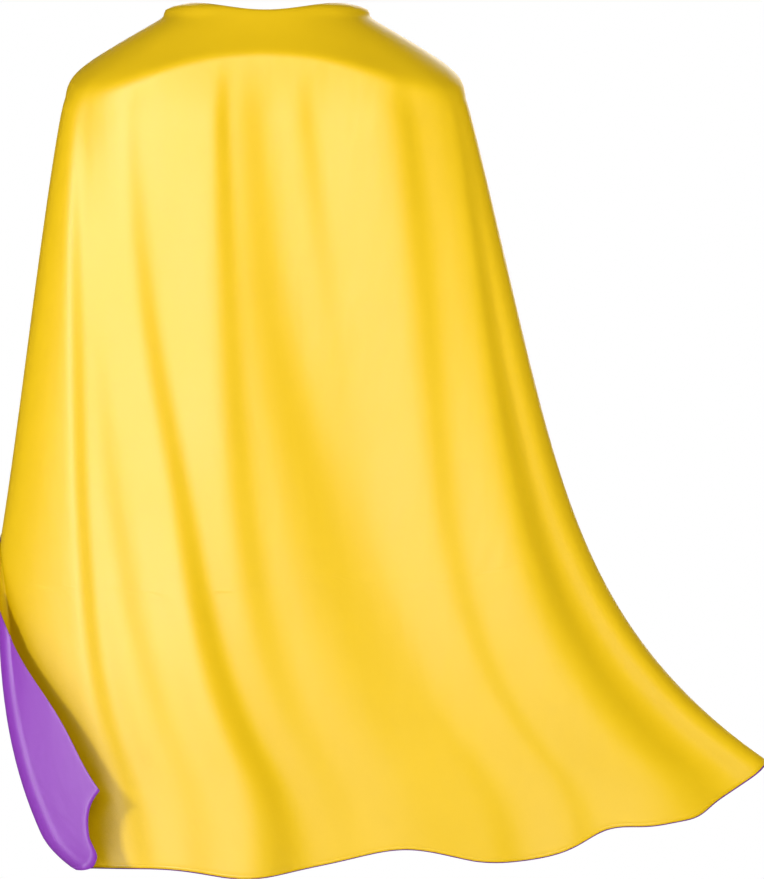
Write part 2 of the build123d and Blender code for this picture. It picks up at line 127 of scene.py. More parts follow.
# Dark flanks of the folds: each is a fall in the cloth's height, going from the
# left edge to the right edge.  For each of the five flank drops: the place as a
# fraction of the width, the fall in mm, and the half width as a fraction.
FLANKS = (
    ((0.045, 0.098, 0.143, 0.192, 0.262), (5.0, 5.0, 5.5, 6.0, 6.0), (0.018, 0.013, 0.011, 0.012, 0.016)),
    ((0.080, 0.135, 0.200, 0.265, 0.320), (1.0, 3.0, 6.0, 6.0, 5.0), (0.030, 0.030, 0.028, 0.024, 0.022)),
    ((0.180, 0.245, 0.318, 0.362, 0.405), (1.5, 4.5, 8.0, 17.0, 28.0), (0.022, 0.018, 0.017, 0.017, 0.022)),
    ((0.398, 0.410, 0.425, 0.440, 0.470), (5.0, 6.0, 9.0, 9.0, 5.0), (0.014, 0.020, 0.024, 0.028, 0.030)),
    ((0.470, 0.490, 0.545, 0.570, 0.580), (6.0, 12.0, 24.0, 31.0, 24.0), (0.035, 0.045, 0.065, 0.080, 0.070)),
    ((0.600, 0.615, 0.630, 0.635, 0.640), (3.0, 2.0, 2.0, 3.0, 6.0), (0.022, 0.030, 0.034, 0.028, 0.012)),
    ((0.840, 0.815, 0.780, 0.745, 0.720), (10.0, 8.0, 6.0, 6.0, 5.0), (0.030, 0.028, 0.024, 0.020, 0.014)),
    ((0.965, 0.940, 0.922, 0.900, 0.865), (1.0, 8.0, 18.0, 31.0, 35.0), (0.010, 0.015, 0.023, 0.038, 0.046)),
    ((0.985, 0.970, 0.966, 0.962, 0.950), (-2.0, -6.0, -8.0, -10.0, -7.0),
     (0.012, 0.015, 0.018, 0.020, 0.024)),
)
# Waves of the hem: place as a fraction of the width, half width, drop in mm.
HEM_WAVES = (
    (0.365, 0.055, 8.0),
    (0.530, 0.070, -14.0),
    (0.755, 0.042, -10.0),
    (0.858, 0.025, 3.0),
)


# ------------------------------------------------------------- shape of the cloth
def ramp(value, start, end):
    """0 before start, 1 after end, smooth in between."""
    step = np.clip((value - start) / (end - start), 0.0, 1.0)
    return step * step * (3.0 - 2.0 * step)


def through(values, drop):
    """Smooth curve through values given at the flank drops."""
    place = np.interp(drop, FLANK_DROPS, np.arange(5.0))
    below = np.clip(np.floor(place).astype(int), 0, 3)
    part = place - below
    v = np.array(values)
    slope = np.gradient(v)
    a, b = v[below], v[below + 1]
    ta, tb = slope[below], slope[below + 1]
    p2, p3 = part ** 2, part ** 3
    return (2 * p3 - 3 * p2 + 1) * a + (p3 - 2 * p2 + part) * ta + (3 * p2 - 2 * p3) * b + (p3 - p2) * tb


def right_side(drop):
    run = np.maximum(drop - SHOULDER_DROP, 0.0) / (RIGHT_TIP_DROP - SHOULDER_DROP)
    past = np.maximum(run - 1.0, 0.0)
    inside = np.minimum(run, 1.0)
    side = SHOULDER_HALF + RIGHT_FLARE * inside ** RIGHT_FLARE_BEND + RIGHT_KICK * inside ** RIGHT_KICK_BEND
    return side + CORNER_RUN * CORNER_EASE * (1.0 - np.exp(-past / CORNER_EASE))


def left_side(drop):
    run = np.maximum(drop - SHOULDER_DROP, 0.0) / (LEFT_TIP_DROP - SHOULDER_DROP)
    flare = LEFT_FLARE * run ** LEFT_FLARE_BEND
    return SHOULDER_HALF + LEFT_WIDER + flare + LEFT_KICK * run ** LEFT_KICK_BEND


def hem_drop(across):
    """Drop of the hem: level in the middle, up to both corners, with the folds' waves."""
    side, _ = plan_place(across * HEM_REACH, HEM_SQUARE)
    widest, _ = plan_place(HEM_REACH, HEM_SQUARE)
    place = 0.5 * (1.0 + side / widest)
    rising = np.maximum(place - RIGHT_RISE_START, 0.0) / RIGHT_RISE_REACH
    drop = HEM_DROP - HEM_LIFT - RIGHT_RISE * rising ** RIGHT_RISE_BEND
    drop = drop - ROLL_RISE * ramp(ROLL_SHARE - place, 0.0, ROLL_WIDTH)
    share = 1.0 - place / LEFT_SHARE
    drop = drop - LEFT_RISE * np.tanh(LEFT_STEEPNESS * (share + np.sqrt(share ** 2 + LEFT_SOFTNESS)))
    for middle, width, depth in HEM_WAVES:
        drop = drop + depth * np.exp(-((place - middle) / width) ** 2)
    return drop


def break_drop(across):
    side, back = plan_place(across * SHOULDER_REACH, TOP_SQUARE)
    front = np.maximum(-back, 0.0)
    corner = CORNER_FALL * np.exp(-((np.abs(across) - CORNER_PLACE) / CORNER_WIDTH) ** 2)
    rounded = (SHOULDER_DROP - BLADE_DROP) * np.abs(side) ** BREAK_BEND
    return BLADE_DROP + rounded + corner + FRONT_FALL * front


def fold_height(fraction, drop):
    """Outward height of the folds: gentle rises broken by falls."""
    total = 0.0
    rise = 0.0
    fade = ramp(drop, FADE_START, FADE_END)
    for places, falls, widths in FLANKS:
        place = through(places, drop)
        fall = through(falls, drop) * fade
        width = through(widths, drop)
        total = total - fall * 0.5 * (1.0 + np.tanh((fraction - place) / width))
        rise = rise + fall
    return total + rise * fraction


def plan_size(drop):
    run = np.clip((drop - BLADE_DROP) / (HEM_DROP - BLADE_DROP), 0.0, 1.0)
    half = 0.5 * (right_side(drop) + left_side(drop))
    middle = 0.5 * (right_side(drop) - left_side(drop))
    depth = BLADE_DEPTH + (HEM_DEPTH - BLADE_DEPTH) * run
    return half, middle, depth, HEM_BACKSET * run, TOP_SQUARE + (HEM_SQUARE - TOP_SQUARE) * run


def plan_reach(drop):
    reach = SHOULDER_REACH + (SIDE_REACH - SHOULDER_REACH) * ramp(drop, BLADE_DROP, SIDE_DROP)
    return reach + (HEM_REACH - SIDE_REACH) * ramp(drop, SIDE_DROP, RIGHT_TIP_DROP)


def plan_place(angle, square):
    turn = np.radians(angle)
    bulge = (np.abs(np.sin(turn)) ** square + np.abs(np.cos(turn)) ** square) ** (-1.0 / square)
    return bulge * np.sin(turn), bulge * np.cos(turn)


def back_face(x, drop):
    """Y of the hanging cloth's back at a given X."""
    half, middle, depth, backset, square = plan_size(drop)
    widest, _ = plan_place(np.minimum(plan_reach(drop), 90.0), square)
    side = (x - middle) / half
    back = np.maximum(1.0 - np.abs(side * widest) ** square, 0.0) ** (1.0 / square)
    return -backset - depth * back - fold_height(0.5 * (1.0 + side), drop)


def turn_corner(x, y, drop):
    """Roll the lower left corner over, towards the outside of the cape."""
    run = np.maximum(drop - CURL_START, 0.0) / (HEM_DROP - CURL_START)
    radius = CURL_RADIUS + CURL_LOOSER * run ** 2
    fold_x = -left_side(CURL_START) + radius * ramp(drop, CURL_START, CURL_FULL)
    near_hem = np.maximum(drop - CURL_END_START, 0.0) / CURL_END_LENGTH
    fold_x = fold_x + CURL_SLANT * run ** CURL_SLANT_BEND + CURL_END * near_hem ** 2
    beyond = np.where(drop > CURL_START, fold_x - x, 0.0)
    beyond = beyond * (1.0 + CURL_SPREAD * np.exp(-((drop - SPREAD_LEVEL) / SPREAD_WIDTH) ** 2))
    whole = CURL_TURN - CURL_LIFT * run ** 2
    turn = np.clip(beyond / radius, 0.0, whole)
    rest = np.maximum(beyond - radius * whole, 0.0)
    new_x = fold_x - radius * np.sin(turn) - rest * np.cos(turn)
    stand_off = radius * (1.0 - np.cos(turn)) + rest * np.sin(turn)
    new_y = back_face(np.maximum(new_x, fold_x), drop) - stand_off
    rolled = beyond > 0.0
    return np.where(rolled, new_x, x), np.where(rolled, new_y, y)


def hanging(across, drop):
    half, middle, depth, backset, square = plan_size(drop)
    widest, _ = plan_place(np.minimum(plan_reach(drop), 90.0), square)
    side, back = plan_place(across * plan_reach(drop), square)
    side = side / widest
    push = fold_height(0.5 * (1.0 + side), drop)
    lean_x, lean_y = depth * side, -half * back
    lean = np.sqrt(lean_x ** 2 + lean_y ** 2)
    x = middle + half * side + push * lean_x / lean
    y = -backset - depth * back + push * lean_y / lean
    return turn_corner(x, y, drop)


def soft_least(a, b, softness):
    return -softness * np.log(np.exp(-a / softness) + np.exp(-b / softness))


def cape(across, run):
    """Middle of the cloth from the neckline (run 0) to the hem (run 1)."""
    turn = np.radians(across * NECK_REACH)
    front = np.maximum(-np.cos(turn), 0.0)
    radius = NECK_RADIUS + NECK_CLEARANCE
    back_dip = NECK_BACK_DIP * np.cos(turn) ** 4 * (1.0 - ramp(front, 0.0, 0.1))
    neck_drop = back_dip + NECK_FRONT_DIP * front ** 2
    drop = neck_drop + (hem_drop(across) - neck_drop) * run
    low_x, low_y = hanging(across, np.maximum(drop, BLADE_DROP))
    down = (drop - neck_drop) / (break_drop(across) - neck_drop)
    sideways = np.sin(turn) ** 2
    hollow = BACK_HOLLOW - SIDE_SWELL * sideways
    sloping = (BACK_SLOPE + SIDE_SLOPE * sideways) * down * (1.0 - hollow + hollow * down)
    sloping = soft_least(sloping, np.ones_like(down), BREAK_SHARPNESS + SHOULDER_SOFTNESS * sideways)
    sloping = sloping + COLLAR_PUSH * np.exp(-((down - COLLAR_PLACE) / COLLAR_WIDTH) ** 2) * sideways
    step = np.clip(down * FRONT_SLOWNESS, 0.0, 1.0)
    upright = step ** 3 * (10.0 - 15.0 * step + 6.0 * step ** 2)
    out = sloping + (upright - sloping) * ramp(np.abs(across), FRONT_PART, 1.0)
    x = radius * np.sin(turn) * (1.0 - out) + low_x * out
    y = -radius * np.cos(turn) * (1.0 - out) + low_y * out
    return np.stack([x, y, -drop], -1)


# ------------------------------------------------------------------- mesh helpers
def grid_normals(points):
    along = np.gradient(points, axis=1)
    down = np.gradient(points, axis=0)
    normal = np.cross(down, along)
    return normal / np.linalg.norm(normal, axis=-1, keepdims=True)


def edge_distance(points):
    """Distance of every grid point from the nearest edge of the cloth."""
    across = np.linalg.norm(np.diff(points, axis=1), axis=-1)
    down = np.linalg.norm(np.diff(points, axis=0), axis=-1)
    left = np.pad(np.cumsum(across, 1), ((0, 0), (1, 0)))
    top = np.pad(np.cumsum(down, 0), ((1, 0), (0, 0)))
    right = left[:, -1:] - left
    bottom = top[-1:, :] - top
    return np.minimum.reduce([left, right, top, bottom])


def sheet(name, points, normals, upper, lower):
    """A closed thin sheet between two offsets of a grid of points."""
    rows, columns = points.shape[:2]
    count = rows * columns
    verts = np.concatenate([
        (points + normals * upper[..., None]).reshape(-1, 3),
        (points + normals * lower[..., None]).reshape(-1, 3),
    ]) * MM
    index = np.arange(count).reshape(rows, columns)
    a, b, c, d = index[:-1, :-1], index[1:, :-1], index[1:, 1:], index[:-1, 1:]
    face = np.stack([a, b, c, d], -1).reshape(-1, 4)
    back = np.stack([a, d, c, b], -1).reshape(-1, 4) + count
    rim = np.concatenate([index[:, 0], index[-1, 1:], index[-2::-1, -1], index[0, -2:0:-1]])
    after = np.roll(rim, -1)
    wall = np.stack([rim, rim + count, after + count, after], -1)
    faces = np.concatenate([face, back, wall])
    mesh = bpy.data.meshes.new(name)
    mesh.from_pydata(verts.tolist(), [], faces.tolist())
    mesh.polygons.foreach_set("use_smooth", np.ones(len(faces), bool))
    mesh.update()
    across = np.linalg.norm(np.diff(points, axis=1), axis=-1)
    down = np.linalg.norm(np.diff(points, axis=0), axis=-1)
    flat = np.stack([np.pad(np.cumsum(across, 1), ((0, 0), (1, 0))),
                     np.pad(np.cumsum(down, 0), ((1, 0), (0, 0)))], -1) * MM
    flat[..., 0] -= flat[:, -1:, 0] * 0.5
    spread = mesh.uv_layers.new(name="UVMap")
    corner = np.zeros(len(mesh.loops), int)
    mesh.loops.foreach_get("vertex_index", corner)
    spread.data.foreach_set("uv", flat.reshape(-1, 2)[corner % count].ravel())
    made = bpy.data.objects.new(name, mesh)
    bpy.context.collection.objects.link(made)
    return made


# ---------------------------------------------------------------------- materials
SATIN_ROUGHNESS = 0.47
SATIN_SHINE = 0.75
CREASE_DEPTH = 0.0013
# Painted shade in hollows: reach over which a point's openness is judged, the openness at which a hollow
# counts as shut and as open, and the share of its colour that a shut hollow keeps under the painted shade.
HOLLOW_REACH = 0.060
HOLLOW_SHUT, HOLLOW_OPEN = 0.62, 0.94
HOLLOW_PAINTED_SHADE = 0.62


def new_material(name):
    material = bpy.data.materials.new(name)
    material.use_nodes = True
    nodes = material.node_tree.nodes
    nodes.clear()
    return material, nodes, material.node_tree.links


def satin(name, deep, pale, thread_pitch=0.0006):
    """Satin: saturated body colour, a broad pale sheen, a fine weave, small creases and painted shade in its
    hollows.
    """
    material, nodes, links = new_material(name)
    out = nodes.new("ShaderNodeOutputMaterial")
    body = nodes.new("ShaderNodeBsdfPrincipled")
    spread = nodes.new("ShaderNodeUVMap")
    # slight unevenness of the dye
    patches = nodes.new("ShaderNodeTexNoise")
    patches.inputs["Scale"].default_value = 9.0
    patches.inputs["Detail"].default_value = 3.0
    tint = nodes.new("ShaderNodeMix")
    tint.data_type = "RGBA"
    tint.inputs["A"].default_value = (*deep, 1.0)
    tint.inputs["B"].default_value = (*pale, 1.0)
    links.new(spread.outputs["UV"], patches.inputs["Vector"])
    links.new(patches.outputs["Fac"], tint.inputs["Factor"])
    # painted shade: hollows under folds and under the turned corner are darkened in colour and lose their
    # sheen, standing in for shadow
    hollow = nodes.new("ShaderNodeAmbientOcclusion")
    hollow.samples = 8
    hollow.inputs["Distance"].default_value = HOLLOW_REACH
    share = nodes.new("ShaderNodeMapRange")
    share.inputs["From Min"].default_value = HOLLOW_SHUT
    share.inputs["From Max"].default_value = HOLLOW_OPEN
    links.new(hollow.outputs["AO"], share.inputs["Value"])
    shade = nodes.new("ShaderNodeMix")
    shade.data_type = "RGBA"
    shade.blend_type = "MULTIPLY"
    shade.inputs["Factor"].default_value = 1.0
    # painted shade: the share of the base colour left where the occlusion finds a shut hollow
    painted_shade = nodes.new("ShaderNodeMapRange")
    painted_shade.inputs["To Min"].default_value = HOLLOW_PAINTED_SHADE
    links.new(share.outputs["Result"], painted_shade.inputs["Value"])
    links.new(tint.outputs["Result"], shade.inputs["A"])
    links.new(painted_shade.outputs["Result"], shade.inputs["B"])
    links.new(shade.outputs["Result"], body.inputs["Base Color"])
    # painted shade on the sheen: the specular level drops in shut hollows
    shine = nodes.new("ShaderNodeMath")
    shine.operation = "MULTIPLY"
    shine.inputs[1].default_value = SATIN_SHINE
    links.new(share.outputs["Result"], shine.inputs[0])
    links.new(shine.outputs[0], body.inputs["Specular IOR Level"])
    # sheen that varies a little over the cloth
    gloss = nodes.new("ShaderNodeMapRange")
    gloss.inputs["To Min"].default_value = SATIN_ROUGHNESS - 0.03
    gloss.inputs["To Max"].default_value = SATIN_ROUGHNESS + 0.03
    links.new(patches.outputs["Fac"], gloss.inputs["Value"])
    links.new(gloss.outputs["Result"], body.inputs["Roughness"])
    # threads: long floats one way, short ties the other way
    heights = []
    for direction, pitch in (("X", thread_pitch), ("Y", 3.0 * thread_pitch)):
        threads = nodes.new("ShaderNodeTexWave")
        threads.bands_direction = direction
        threads.inputs["Scale"].default_value = 2.0 * math.pi / (20.0 * pitch)
        threads.inputs["Distortion"].default_value = 0.4
        links.new(spread.outputs["UV"], threads.inputs["Vector"])
        heights.append(threads.outputs["Fac"])
    weave = nodes.new("ShaderNodeMath")
    weave.operation = "MULTIPLY_ADD"
    weave.inputs[1].default_value = 0.4
    links.new(heights[1], weave.inputs[0])
    links.new(heights[0], weave.inputs[2])
    weave_bump = nodes.new("ShaderNodeBump")
    weave_bump.inputs["Strength"].default_value = 0.12
    weave_bump.inputs["Distance"].default_value = 0.00005
    links.new(weave.outputs[0], weave_bump.inputs["Height"])
    # faint creases left by folding and handling
    squeeze = nodes.new("ShaderNodeMapping")
    squeeze.inputs["Scale"].default_value = (26.0, 11.0, 1.0)
    creases = nodes.new("ShaderNodeTexNoise")
    creases.inputs["Scale"].default_value = 1.0
    creases.inputs["Detail"].default_value = 3.0
    creases.inputs["Roughness"].default_value = 0.50
    crease_bump = nodes.new("ShaderNodeBump")
    crease_bump.inputs["Strength"].default_value = 0.5
    crease_bump.inputs["Distance"].default_value = CREASE_DEPTH
    links.new(spread.outputs["UV"], squeeze.inputs["Vector"])
    links.new(squeeze.outputs["Vector"], creases.inputs["Vector"])
    links.new(creases.outputs["Fac"], crease_bump.inputs["Height"])
    links.new(weave_bump.outputs["Normal"], crease_bump.inputs["Normal"])
    links.new(crease_bump.outputs["Normal"], body.inputs["Normal"])
    links.new(body.outputs["BSDF"], out.inputs["Surface"])
    return material


yellow_satin = satin("yellow_satin", (0.86, 0.545, 0.003), (0.93, 0.595, 0.004))
purple_satin = satin("purple_satin", (0.26, 0.035, 0.46), (0.29, 0.048, 0.50))

# ------------------------------------------------------------------ cape, 2 layers
COLUMNS, ROWS = 320, 260
LAYER = 0.5                 # thickness of one layer
LAYER_NEAR = 0.2            # each layer's inner face lies this far from the middle
LINING_PEEK = 0.8           # the lining shows by this much beyond the outer satin
CORNER_PULL = 1.6 * LINING_PEEK   # the lining's edge is pulled in by this on the turned corner
EDGE_ROUND = 2.0            # width of the rounded edge
ACROSS_LENGTH, DOWN_LENGTH = 350.0, 690.0   # half width and height that turn mm into shares


def cloth_grid(pull_in, at_corner):
    """Grid through the middle of the cloth, its sides and hem pulled in by a distance.

    The distance is another one along the left edge where the corner is turned over.
    """
    across = np.linspace(-1.0 + pull_in / ACROSS_LENGTH, 1.0 - pull_in / ACROSS_LENGTH, COLUMNS + 1)
    run = np.linspace(0.0, 1.0 - pull_in / DOWN_LENGTH, ROWS + 1)
    across, run = np.meshgrid(across, run)
    corner = (at_corner - pull_in) / ACROSS_LENGTH * ramp(run * HEM_DROP, CURL_START, CURL_FULL)
    across = across + corner * np.clip(-across, 0.0, 1.0) ** 4
    points = cape(across, run)
    return points, grid_normals(points)


def edge_rounding(points):
    """0 on the edge of the cape, 1 further in than the rounded edge."""
    return np.sqrt(1.0 - (1.0 - np.clip(edge_distance(points) / EDGE_ROUND, 0.0, 1.0)) ** 2)


points, normals = cloth_grid(LINING_PEEK, 0.0)
rounding = edge_rounding(points)
flat = np.zeros_like(rounding)
outer = sheet("cape_outer_satin", points, normals, LAYER_NEAR + LAYER * rounding, flat + LAYER_NEAR)
outer.data.materials.append(yellow_satin)
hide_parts("outer_yoke", "outer_drape")

points, normals = cloth_grid(0.0, CORNER_PULL)
rounding = edge_rounding(points)
lining = sheet("cape_lining_satin", points, normals, flat - LAYER_NEAR, -LAYER_NEAR - LAYER * rounding)
lining.data.materials.append(purple_satin)
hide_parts("lining_yoke", "lining_drape")

for piece in (outer, lining):
    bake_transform(piece)

# --------------------------------------------------------------------- neck tabs
# Angles round the neck are measured from the throat, positive to the wearer's right.
# Each tab has a side: 1 for the hook tab, which starts on the right, -1 for the loop tab.
TAB_ROOT = 180.0 - NECK_REACH
TAB_TIP = -27.0
TAB_MIDDLE = NECK_RADIUS + 0.95
TAB_ALONG, TAB_ACROSS = 111, 25      # points of the tab's grid
TAB_CROWDING = 0.8                   # below 1: more of the points lie near the tip
TAB_CORNER = 7.0
TAB_SEAM = 1.6
TAB_HEIGHT = -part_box("loop_tab_outer")[0].z / MM
TAPE_HALF = 22.0
TAPE_HEIGHT = (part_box("loop_patch")[1].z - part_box("loop_patch")[0].z) / MM
LOOP_TAPE_IN = NECK_RADIUS + 2.0
HOOK_TAPE_IN = NECK_RADIUS + 3.9
LIFT = 5.1
LIFT_START, LIFT_END = 29.0, 40.0
ROOT_BLEND = 14.0           # the tab's satin runs into the cape over this length
# distances of a ply's two faces from the middle, at the seam and what is added beyond it
SEAM_NEAR, PLY_NEAR = 0.02, 0.33
SEAM_FAR, PLY_FAR = 0.10, 0.80
STAY_INSET = 2.0            # the interfacing stops this far inside the satin
STAY_HALF = 0.24            # half its thickness
STRIP = 0.55                # thickness of a tape without its hooks or loops
STRIP_ALONG, STRIP_ACROSS = 81, 25   # points of its grid
STRIP_ROUND = 0.6           # width of its rounded edge
STRIP_EDGE = 0.3            # its thickness at the edge as a share of the whole
THREAD_RADIUS = 0.14
LOOP_HEIGHT, LOOP_RADIUS, LOOP_HALF_WIDTH, LOOP_PITCH = 0.55, 0.055, 0.42, 0.95
HOOK_HEIGHT, HOOK_RADIUS, HOOK_REACH, HOOK_PITCH = 0.65, 0.075, 0.28, 1.15
TUFT_MARGIN = 0.8           # hooks and loops stop this far inside the tape's edge
TUFT_SCATTER = 0.06
STITCH_INSET, STITCH_PITCH = 1.4, 2.3
STITCH_HALF, STITCH_RISE, STITCH_SUNK = 0.42, 0.22, 0.05


def on_neck(radius, angle, level):
    turn = np.radians(angle)
    return np.stack([radius * np.sin(turn), radius * np.cos(turn), level + 0.0 * turn], -1)


def tab_grid(side, root, pull_in):
    """Grid through the middle of a tab's plies, and its outward normals."""
    share = np.linspace(0.0, 1.0, TAB_ALONG) ** TAB_CROWDING
    tip = TAB_TIP + math.degrees(pull_in / NECK_RADIUS)
    angle = root + (tip - root) * share
    round_off = TAB_CORNER - pull_in
    short = np.maximum(round_off - (1.0 - share) * math.radians(root - tip) * NECK_RADIUS, 0.0)
    half = 0.5 * TAB_HEIGHT - pull_in - round_off + np.sqrt(round_off ** 2 - short ** 2)
    height, angle = np.meshgrid(np.linspace(-1.0, 1.0, TAB_ACROSS), angle)
    level = -0.5 * TAB_HEIGHT + height * half[:, None]
    radius = np.full_like(angle, TAB_MIDDLE)
    if side > 0:
        radius = radius + LIFT * (1.0 - ramp(angle, LIFT_START, LIFT_END))
    points = on_neck(radius, side * angle, level)
    if pull_in == 0.0:
        # the satin's first stretch runs into the front edge of the cape
        drop = np.clip(-level[0], 1.0, None)
        edge = np.full_like(drop, float(side))
        neck = NECK_FRONT_DIP * math.cos(math.radians(NECK_REACH)) ** 2
        meet = cape(edge, (drop - neck) / (hem_drop(edge) - neck))
        away = math.radians(1.0) * NECK_RADIUS * (root - angle[:, :1])
        points = points + (meet - points[0])[None] * (1.0 - ramp(away, 0.0, ROOT_BLEND))[..., None]
    normals = grid_normals(points)
    outward = np.sign(np.sum(normals * points * [1.0, 1.0, 0.0], axis=-1, keepdims=True))
    return points, normals * outward


def seam_share(points):
    """0 on the edge of a tab, 1 further in than its seam."""
    edge = edge_distance(points)
    return np.sqrt(1.0 - (1.0 - np.clip(edge / TAB_SEAM, 0.0, 1.0)) ** 2)


def tab_plies(name, side):
    body = name + "_tab"
    points, normals = tab_grid(side, TAB_ROOT, 0.0)
    closed = seam_share(points)
    near = SEAM_NEAR + PLY_NEAR * closed
    far = SEAM_FAR + PLY_FAR * closed
    plies = (
        ("outer", "yellow_satin", yellow_satin, far, near),
        ("lining", "purple_satin", purple_satin, -near, -far),
    )
    for ply, slot, material, upper, lower in plies:
        made = sheet(f"{body}_{ply}_satin", points, normals, upper, lower)
        made.data.materials.append(material)
        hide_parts(f"{body}_{ply}")
        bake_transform(made)
    points, normals = tab_grid(side, TAB_ROOT - ROOT_BLEND, STAY_INSET)
    level = np.full(points.shape[:2], STAY_HALF)
    stay = sheet(f"{body}_interfacing_felt", points, normals, level, -level)
    stay.data.materials.append(felt)
    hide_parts(f"{body}_interfacing")
    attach(stay, body)


def tubes(name, paths, upward, radius, sides=6):
    """One mesh of many short round threads: paths is (threads, steps, 3) in mm."""
    count, steps = paths.shape[:2]
    tangent = np.gradient(paths, axis=1)
    tangent = tangent / np.linalg.norm(tangent, axis=-1, keepdims=True)
    aside = np.cross(tangent, upward[:, None, :])
    aside = aside / np.linalg.norm(aside, axis=-1, keepdims=True)
    above = np.cross(aside, tangent)
    turn = np.linspace(0.0, 2.0 * math.pi, sides, endpoint=False)[:, None]
    around = np.cos(turn) * aside[:, :, None] + np.sin(turn) * above[:, :, None]
    ring = paths[:, :, None] + radius * around
    index = np.arange(count * steps * sides).reshape(count, steps, sides)
    here, there = index[:, :-1], index[:, 1:]
    walls = np.stack([here, there, np.roll(there, -1, 2), np.roll(here, -1, 2)], -1).reshape(-1, 4)
    ends = [list(face) for face in index[:, 0]] + [list(face)[::-1] for face in index[:, -1]]
    mesh = bpy.data.meshes.new(name)
    mesh.from_pydata((ring.reshape(-1, 3) * MM).tolist(), [], walls.tolist() + ends)
    mesh.polygons.foreach_set("use_smooth", np.ones(len(mesh.polygons), bool))
    made = bpy.data.objects.new(name, mesh)
    bpy.context.collection.objects.link(made)
    return made


def band(name, inner, thickness, half_angle, height):
    """A woven strip round the throat with rounded edges, its middle level with the tabs'."""
    level = np.linspace(-0.5, 0.5, STRIP_ACROSS) * height
    angle, level = np.meshgrid(np.linspace(-half_angle, half_angle, STRIP_ALONG), level)
    points = on_neck(inner + 0.5 * thickness, angle, level - 0.5 * TAB_HEIGHT)
    normals = on_neck(1.0, angle, 0.0 * level)
    soft = np.sqrt(1.0 - (1.0 - np.clip(edge_distance(points) / STRIP_ROUND, 0.0, 1.0)) ** 2)
    half = 0.5 * thickness * (STRIP_EDGE + (1.0 - STRIP_EDGE) * soft)
    return sheet(name, points, normals, half, -half)


def join(made, *others):
    """Melt the other meshes into the first one."""
    bpy.ops.object.select_all(action="DESELECT")
    for part in (made, *others):
        part.select_set(True)
    bpy.context.view_layer.objects.active = made
    bpy.ops.object.join()
    return made


def tuft_places(pitch, margin):
    """Rows of places on a tape, every other row shifted by half a pitch."""
    rows = int((TAPE_HEIGHT - 2.0 * margin) / pitch)
    half = TAPE_HALF - math.degrees(margin / LOOP_TAPE_IN)
    columns = int(math.radians(2.0 * half) * LOOP_TAPE_IN / pitch)
    angle, level = np.meshgrid(np.linspace(-half, half, columns), np.linspace(-0.5, 0.5, rows))
    angle = angle + (np.arange(rows)[:, None] % 2) * half / columns
    chance = np.random.default_rng(7)
    angle = angle + chance.normal(0.0, TUFT_SCATTER, angle.shape)
    level = level * (TAPE_HEIGHT - 2.0 * margin) - 0.5 * TAB_HEIGHT
    level = level + chance.normal(0.0, TUFT_SCATTER, level.shape)
    return angle.ravel(), level.ravel()


def loop_pile(root_radius, height):
    """Soft loops of the loop tape, each leaning its own way."""
    angle, level = tuft_places(LOOP_PITCH, TUFT_MARGIN)
    chance = np.random.default_rng(3)
    lean = chance.uniform(0.0, math.pi, angle.shape)[:, None]
    turn = np.linspace(-0.35, math.pi + 0.35, 9)[None]
    width = LOOP_HALF_WIDTH * np.cos(turn)
    out = height * (0.45 + 0.55 * np.sin(turn)) * chance.uniform(0.8, 1.0, angle.shape)[:, None]
    paths = on_neck(root_radius + out, angle[:, None] + np.degrees(width * np.cos(lean) / root_radius),
                    level[:, None] + width * np.sin(lean))
    upward = np.stack([np.sin(lean[:, 0]), 0.3 + 0.0 * lean[:, 0], np.cos(lean[:, 0])], -1)
    return paths, upward


def hook_field(root_radius, height):
    """Stiff hooks of the hook tape, in rows, standing towards the neck."""
    angle, level = tuft_places(HOOK_PITCH, TUFT_MARGIN)
    turn = np.linspace(0.0, 1.25 * math.pi, 9)[None]
    rise = np.where(turn < 0.1, 0.0, 0.55 * height + 0.45 * height * np.sin(turn))
    reach = HOOK_REACH * (1.0 - np.cos(turn))
    way = np.where(np.arange(len(angle)) % 2, 1.0, -1.0)[:, None]
    paths = on_neck(root_radius - rise, angle[:, None] + 0.0 * turn, level[:, None] + way * reach)
    return paths, on_neck(1.0, angle + 90.0, 0.0 * angle)


def stitch_row(radius, outwards):
    """Separate stitches round a tape, each a small arch of thread."""
    half_length = math.radians(TAPE_HALF) * LOOP_TAPE_IN - STITCH_INSET
    half_height = 0.5 * TAPE_HEIGHT - STITCH_INSET
    corners = [(-half_length, -half_height), (half_length, -half_height),
               (half_length, half_height), (-half_length, half_height)]
    arches = []
    swing = np.linspace(0.0, math.pi, 7)
    for (x0, z0), (x1, z1) in zip(corners, corners[1:] + corners[:1]):
        length = math.hypot(x1 - x0, z1 - z0)
        number = round(length / STITCH_PITCH)
        for place in range(number):
            share = (place + 0.5 - STITCH_HALF * np.cos(swing)) / number
            out = STITCH_RISE * np.sin(swing) - STITCH_SUNK
            arches.append(np.stack([x0 + (x1 - x0) * share, z0 + (z1 - z0) * share, out], -1))
    arches = np.array(arches)
    angle = np.degrees(arches[..., 0] / LOOP_TAPE_IN)
    paths = on_neck(radius + outwards * arches[..., 2], angle, arches[..., 1] - 0.5 * TAB_HEIGHT)
    return paths, on_neck(1.0, angle[:, 3], 0.0 * angle[:, 3])


